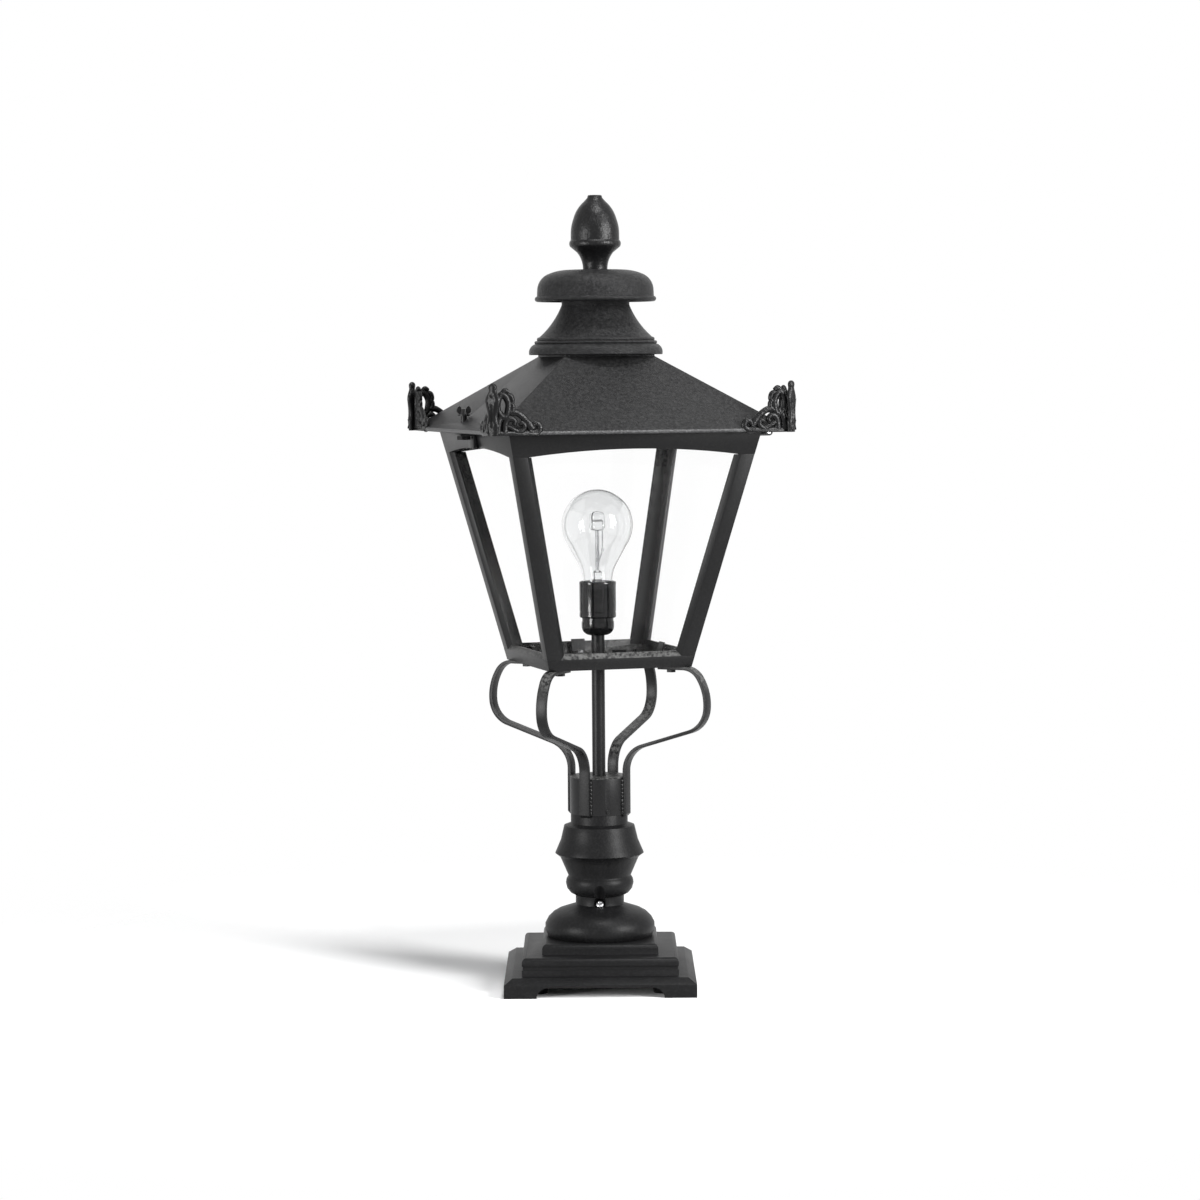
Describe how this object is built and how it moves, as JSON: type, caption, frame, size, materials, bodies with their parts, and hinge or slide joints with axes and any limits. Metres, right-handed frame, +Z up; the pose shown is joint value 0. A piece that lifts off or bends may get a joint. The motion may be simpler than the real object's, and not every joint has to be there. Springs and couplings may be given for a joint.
{
  "type": "post top lantern",
  "caption": "Square glazed lantern with a hinged vented roof and finial, carried by scroll arms on a collar over a turned column and a stepped square plinth.",
  "frame": {"origin": "centre of the plinth's footprint, at the level of its feet", "axes": "+Z up the column; -Y is the side the picture shows, square to the plinth; the lantern head is turned 17.7 degrees about +Z from the plinth"},
  "size_m": [0.3244, 0.3244, 0.664],
  "materials": {
    "cast_black": "satin black paint on a fine cast skin",
    "sheet_black": "fine-grained black powder coat",
    "bar_black": "satin black powder coat",
    "ornament_black": "satin black paint on castings",
    "bright_steel": "plated screws",
    "pane_glass": "clear",
    "holder_black": "glossy moulded",
    "porcelain": "glazed",
    "brass": "plain",
    "base_metal": "satin",
    "bulb_clear": "clear",
    "lead_wire": "drawn wire",
    "rubber_black": "matt"
  },
  "bodies": {
    "pedestal": {"plinth_base": "cast_black", "baluster": "cast_black", "neck_screws": "bright_steel", "wire_grommet": "rubber_black", "terminal_block": "porcelain", "terminal_screws": "bright_steel"},
    "head": {"mounting_collar": "bar_black", "collar_set_screws": "bar_black", "arm_screws": "bar_black", "bottom_frame": "bar_black", "floor_plate": "bar_black", "top_frame": "bar_black", "pane_clips": "bar_black", "pane_clip_screws": "bright_steel", "conduit_tube": "bar_black", "conduit_nuts": "bar_black", "holder_cap": "holder_black", "holder_shell": "holder_black", "holder_insert": "porcelain", "holder_thread": "brass", "holder_contact": "brass", "latch_tab": "bar_black", "latch_nut": "bar_black", "hinge_frame_leaves": "bar_black", "hinge_pins": "bright_steel", "scroll_arm_front": "bar_black", "scroll_arm_right": "bar_black", "scroll_arm_back": "bar_black", "scroll_arm_left": "bar_black", "corner_post_front": "bar_black", "corner_post_right": "bar_black", "corner_post_back": "bar_black", "corner_post_left": "bar_black", "glass_pane_front": "pane_glass", "glass_pane_right": "pane_glass", "glass_pane_back": "pane_glass", "glass_pane_left": "pane_glass"},
    "roof": {"roof_shell": "sheet_black", "chimney_neck": "sheet_black", "neck_bridge": "bar_black", "tie_rod": "bright_steel", "tie_nut": "bright_steel", "spacer_tube": "bar_black", "vent_cap": "sheet_black", "finial": "ornament_black", "hinge_roof_leaves": "bar_black", "corner_ornament_front": "ornament_black", "corner_ornament_right": "ornament_black", "corner_ornament_back": "ornament_black", "corner_ornament_left": "ornament_black"},
    "wing_screw": {"wing_screw": "bar_black"},
    "bulb": {"bulb_glass": "bulb_clear", "bulb_base": "base_metal", "bulb_stem": "bulb_clear", "bulb_capsule": "bulb_clear", "bulb_wires": "lead_wire"}
  },
  "joints": [
    {"name": "head_swivel", "type": "hinge", "parent": "pedestal", "child": "head", "pos_m": [0, 0, 0.157], "axis": [0, 0, 1], "range_deg": [-180, 180]},
    {"name": "roof_hinge", "type": "hinge", "parent": "head", "child": "roof", "pos_m": [0.12204, 0.03895, 0.466], "axis": [-0.304, 0.9527, 0], "range_deg": [0, 105]},
    {"name": "wing_screw_turn", "type": "hinge", "parent": "roof", "child": "wing_screw", "pos_m": [-0.11003, -0.03512, 0.476], "axis": [0, 0, 1], "range_deg": [0, 720]},
    {"name": "bulb_turn", "type": "hinge", "parent": "head", "child": "bulb", "pos_m": [0, 0, 0.328], "axis": [0, 0, 1], "range_deg": [0, 1080]}
  ]
}
